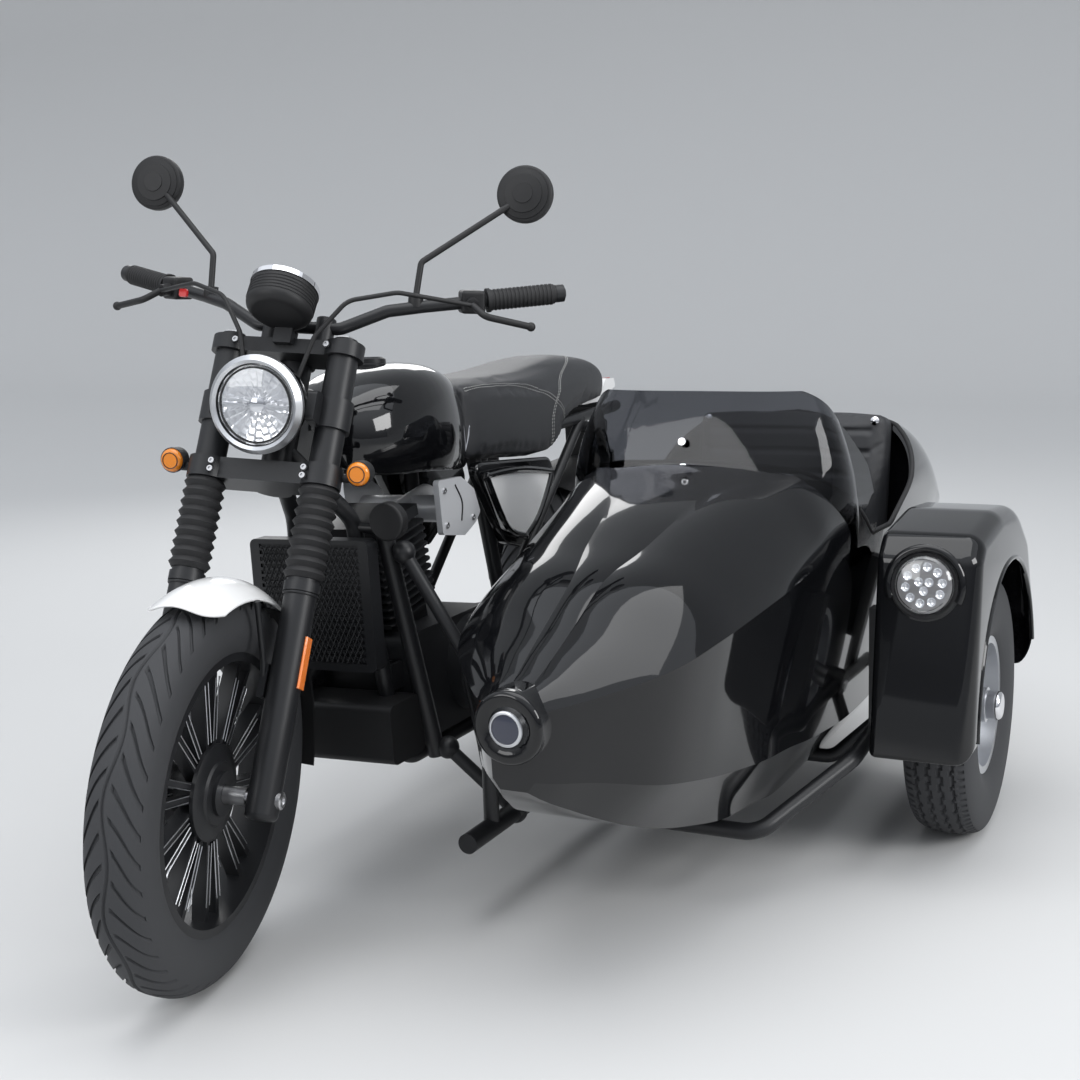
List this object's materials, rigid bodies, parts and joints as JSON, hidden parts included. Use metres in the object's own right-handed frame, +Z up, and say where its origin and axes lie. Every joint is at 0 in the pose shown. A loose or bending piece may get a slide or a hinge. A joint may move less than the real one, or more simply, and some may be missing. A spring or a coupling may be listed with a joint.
{
  "type": "sidecar motorcycle",
  "caption": "Black roadster motorcycle with a one-seat sidecar on the rider's left, three road wheels, working steering and freely turning wheels.",
  "frame": {"origin": "on the ground at the middle of the outfit's outline in plan", "axes": "+Z up, the front faces -Y, the sidecar lies on +X, which is the rider's left"},
  "size_m": [1.5279, 2.2614, 1.3429],
  "materials": {
    "black_satin_paint": "satin",
    "black_gloss_paint": "gloss",
    "black_gloss_glassfibre": "gloss",
    "white_gloss_paint": "gloss",
    "black_plastic": "matte",
    "rubber": "matte",
    "tyre": "matte",
    "steel": "satin",
    "aluminium": "satin",
    "chrome": "polished",
    "clear_lens": "clear",
    "smoked_acrylic": "smoked",
    "amber_lens": "gloss",
    "red_lens": "gloss",
    "black_leathercloth": "grained"
  },
  "bodies": {
    "chassis": {"bike_frame": "black_satin_paint", "engine": "black_satin_paint", "belly_box": "black_plastic", "radiator": "black_satin_paint", "horn": "black_plastic", "fuel_tank": "black_gloss_paint", "rider_seat": "black_leathercloth", "side_panels": "white_gloss_paint", "tail_unit": "white_gloss_paint", "rear_mudguard": "black_plastic", "rear_lamp": "red_lens", "swingarm": "black_satin_paint", "rear_axle": "steel", "rear_shocks": "black_satin_paint", "exhaust": "black_satin_paint", "footrests": "steel", "throttle_covers": "aluminium", "sidecar_body": "black_gloss_glassfibre", "nose_badge": "aluminium", "sidecar_screen": "smoked_acrylic", "sidecar_cushion": "black_leathercloth", "sidecar_backrest": "black_leathercloth", "sidecar_mudguard": "black_gloss_glassfibre", "sidecar_front_lamp": "clear_lens", "sidecar_rear_lamp": "red_lens", "sidecar_frame": "black_satin_paint", "sidecar_struts": "black_satin_paint", "sidecar_stub_axle": "steel"},
    "steering": {"front_axle": "steel", "fork_legs": "black_satin_paint", "fork_tubes": "black_satin_paint", "fork_gaiters": "rubber", "fork_yokes": "black_satin_paint", "headlamp_brackets": "black_satin_paint", "indicator_cups": "black_plastic", "headlamp_bowl": "black_gloss_paint", "headlamp_rim": "aluminium", "headlamp_lens": "clear_lens", "instrument_pod": "black_plastic", "instrument_bezel": "chrome", "instrument_dial": "black_plastic", "handlebar": "black_satin_paint", "grips": "rubber", "hand_controls": "black_plastic", "mirrors": "black_plastic", "front_indicators": "amber_lens", "front_mudguard": "white_gloss_paint", "front_flap": "black_plastic", "mudguard_stays": "black_satin_paint", "front_caliper": "black_satin_paint"},
    "front_wheel": {"front_tyre": "tyre", "front_rim": "black_satin_paint", "front_brake_disc": "steel"},
    "rear_wheel": {"rear_tyre": "tyre", "rear_rim": "black_satin_paint", "rear_brake_disc": "steel", "rear_sprocket": "steel"},
    "sidecar_wheel": {"sidecar_tyre": "tyre", "sidecar_rim": "aluminium", "sidecar_hub_cap": "chrome"}
  },
  "joints": [
    {"name": "steering_turn", "type": "hinge", "parent": "chassis", "child": "steering", "pos_m": [-0.29043, -0.78045, 0.29877], "axis": [-0.0314, 0.4384, 0.8982], "range_deg": [-48.5, 21.5]},
    {"name": "front_wheel_spin", "type": "hinge", "parent": "steering", "child": "front_wheel", "pos_m": [-0.28082, -0.81891, 0.31787], "axis": [0.9753, 0.2098, -0.0683], "continuous": true},
    {"name": "rear_wheel_spin", "type": "hinge", "parent": "chassis", "child": "rear_wheel", "pos_m": [-0.2912, 0.62, 0.3208], "axis": [0.9994, 0, 0.0349], "continuous": true},
    {"name": "sidecar_wheel_spin", "type": "hinge", "parent": "chassis", "child": "sidecar_wheel", "pos_m": [0.676, 0.308, 0.254], "axis": [1, 0, 0], "continuous": true}
  ]
}
